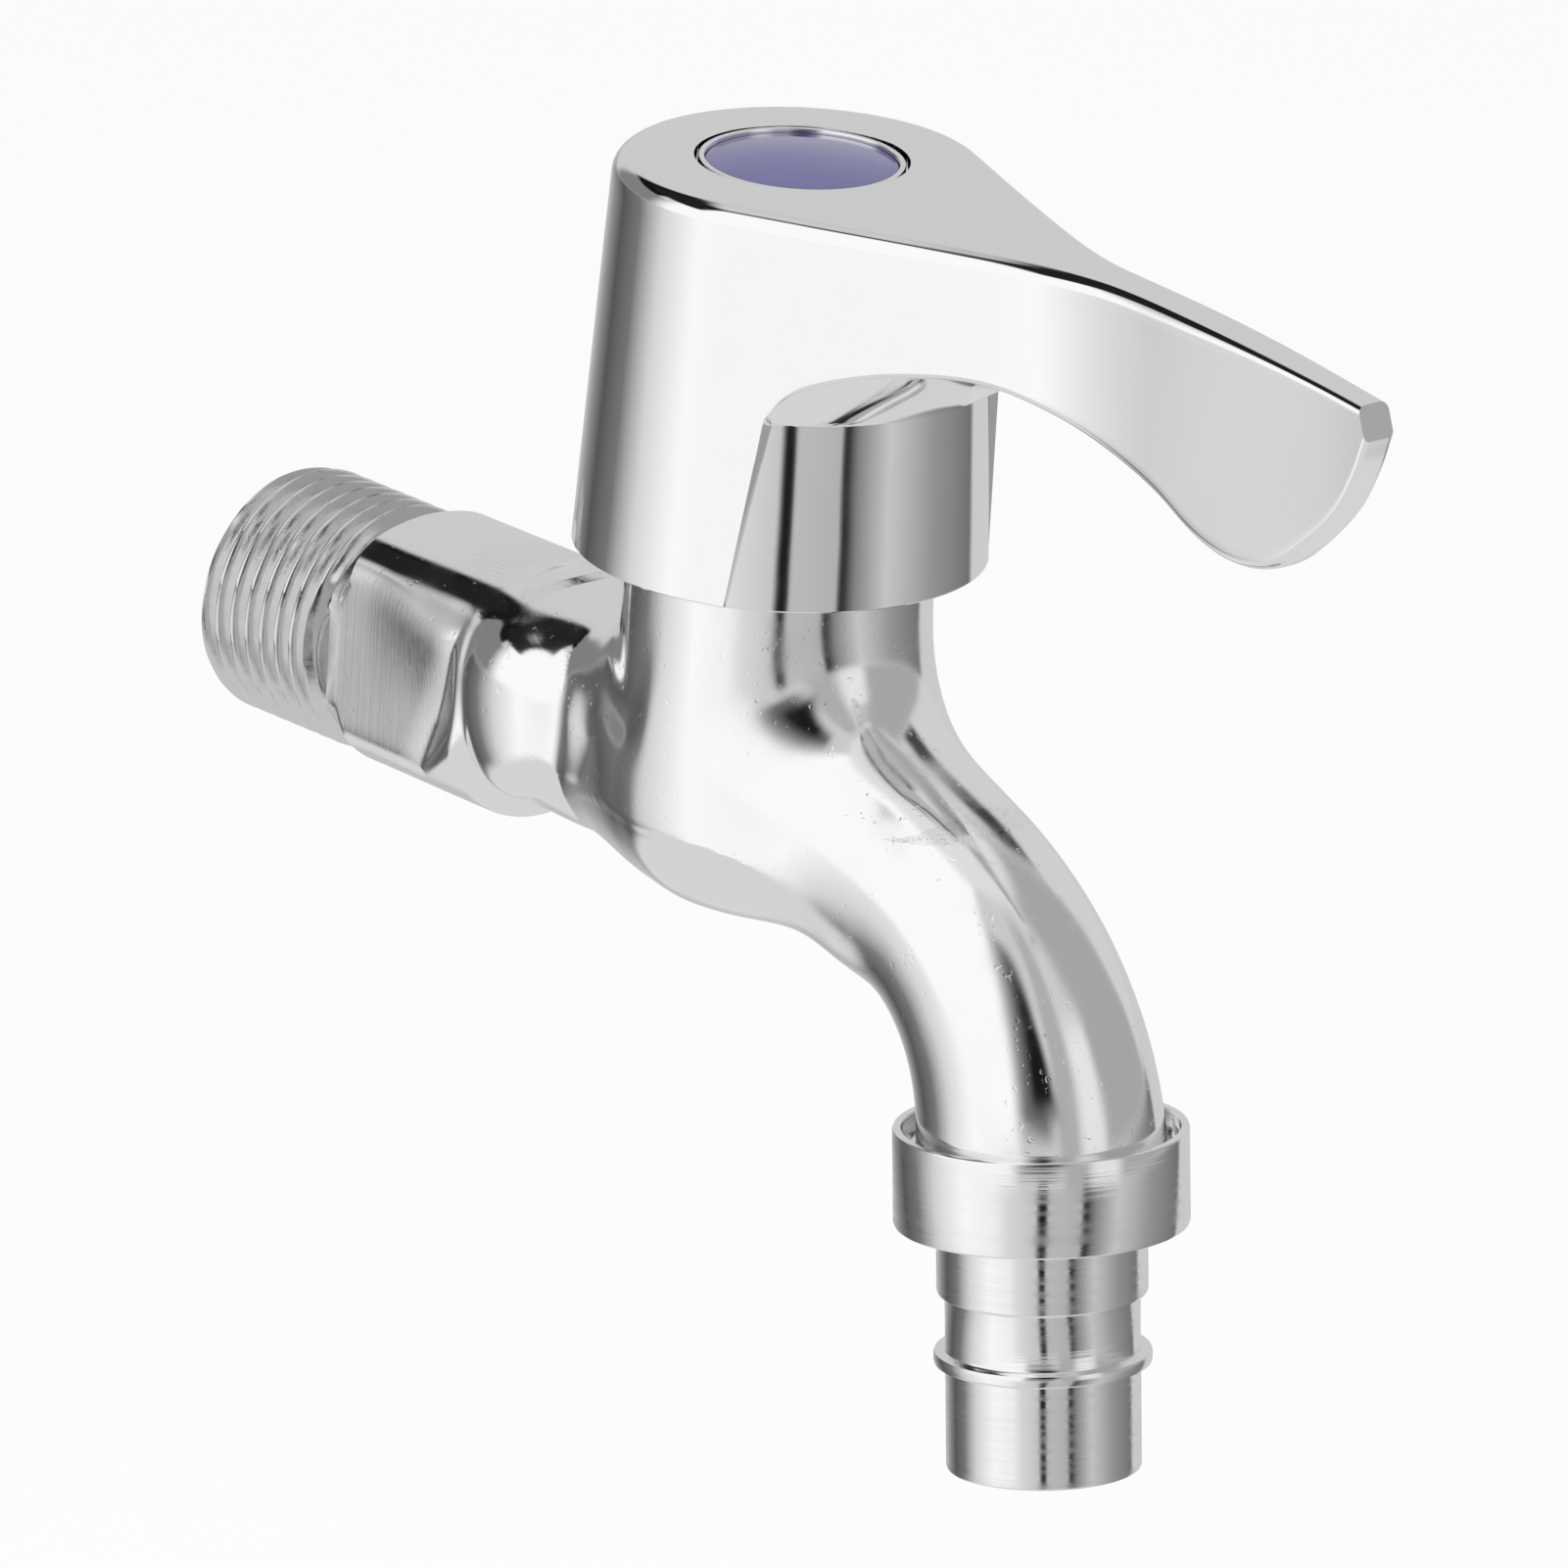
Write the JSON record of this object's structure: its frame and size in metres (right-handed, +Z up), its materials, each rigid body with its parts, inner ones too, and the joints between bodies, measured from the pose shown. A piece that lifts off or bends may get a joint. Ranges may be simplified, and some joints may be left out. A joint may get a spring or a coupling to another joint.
{
  "type": "wall-mounted tap",
  "caption": "Chromed wall-mounted lever tap with a threaded inlet, a quarter-turn ceramic headwork, a bent spout and a turned hose nozzle",
  "frame": {"origin": "centre of the shoulder where the wall thread starts, on the inlet axis", "axes": "+Z up along the valve axis, +Y into the wall along the inlet axis, +X to the right seen from the front; X = 0 is the plane of symmetry"},
  "size_m": [0.0338, 0.1275, 0.1021],
  "materials": {
    "cast_chrome": "polished chrome plating on a cast body",
    "handle_chrome": "mirror chrome plating on a die casting",
    "turned_chrome": "chrome plating over fine turning marks",
    "bezel_chrome": "bright plated plastic",
    "index_plastic": "glossy violet-blue plastic",
    "brass": "bare turned brass",
    "spring_steel": "zinc-plated steel",
    "white_plastic": "plain moulded plastic",
    "disc_ceramic": "lapped alumina ceramic",
    "black_rubber": "moulded rubber"
  },
  "bodies": {
    "tap": {"tap_body": "cast_chrome", "bonnet_housing": "brass", "bonnet_o_ring": "black_rubber", "seat_seal": "black_rubber", "seal_backup_ring": "white_plastic", "fixed_disc": "disc_ceramic", "hose_nozzle": "turned_chrome", "nozzle_washer": "black_rubber"},
    "lever": {"handle": "handle_chrome", "spline_sleeve": "white_plastic", "handle_screw": "spring_steel", "screw_lock_washer": "spring_steel", "cap_bezel": "bezel_chrome", "index_disc": "index_plastic", "spindle": "brass", "spindle_o_ring_upper": "black_rubber", "spindle_o_ring_lower": "black_rubber", "glide_washer": "white_plastic", "retaining_clip": "spring_steel", "moving_disc": "disc_ceramic"}
  },
  "joints": [
    {"name": "handle_turn", "type": "hinge", "parent": "tap", "child": "lever", "pos_m": [0, -0.0444, 0.02], "axis": [0, 0, 1], "range_deg": [0, 90]}
  ]
}
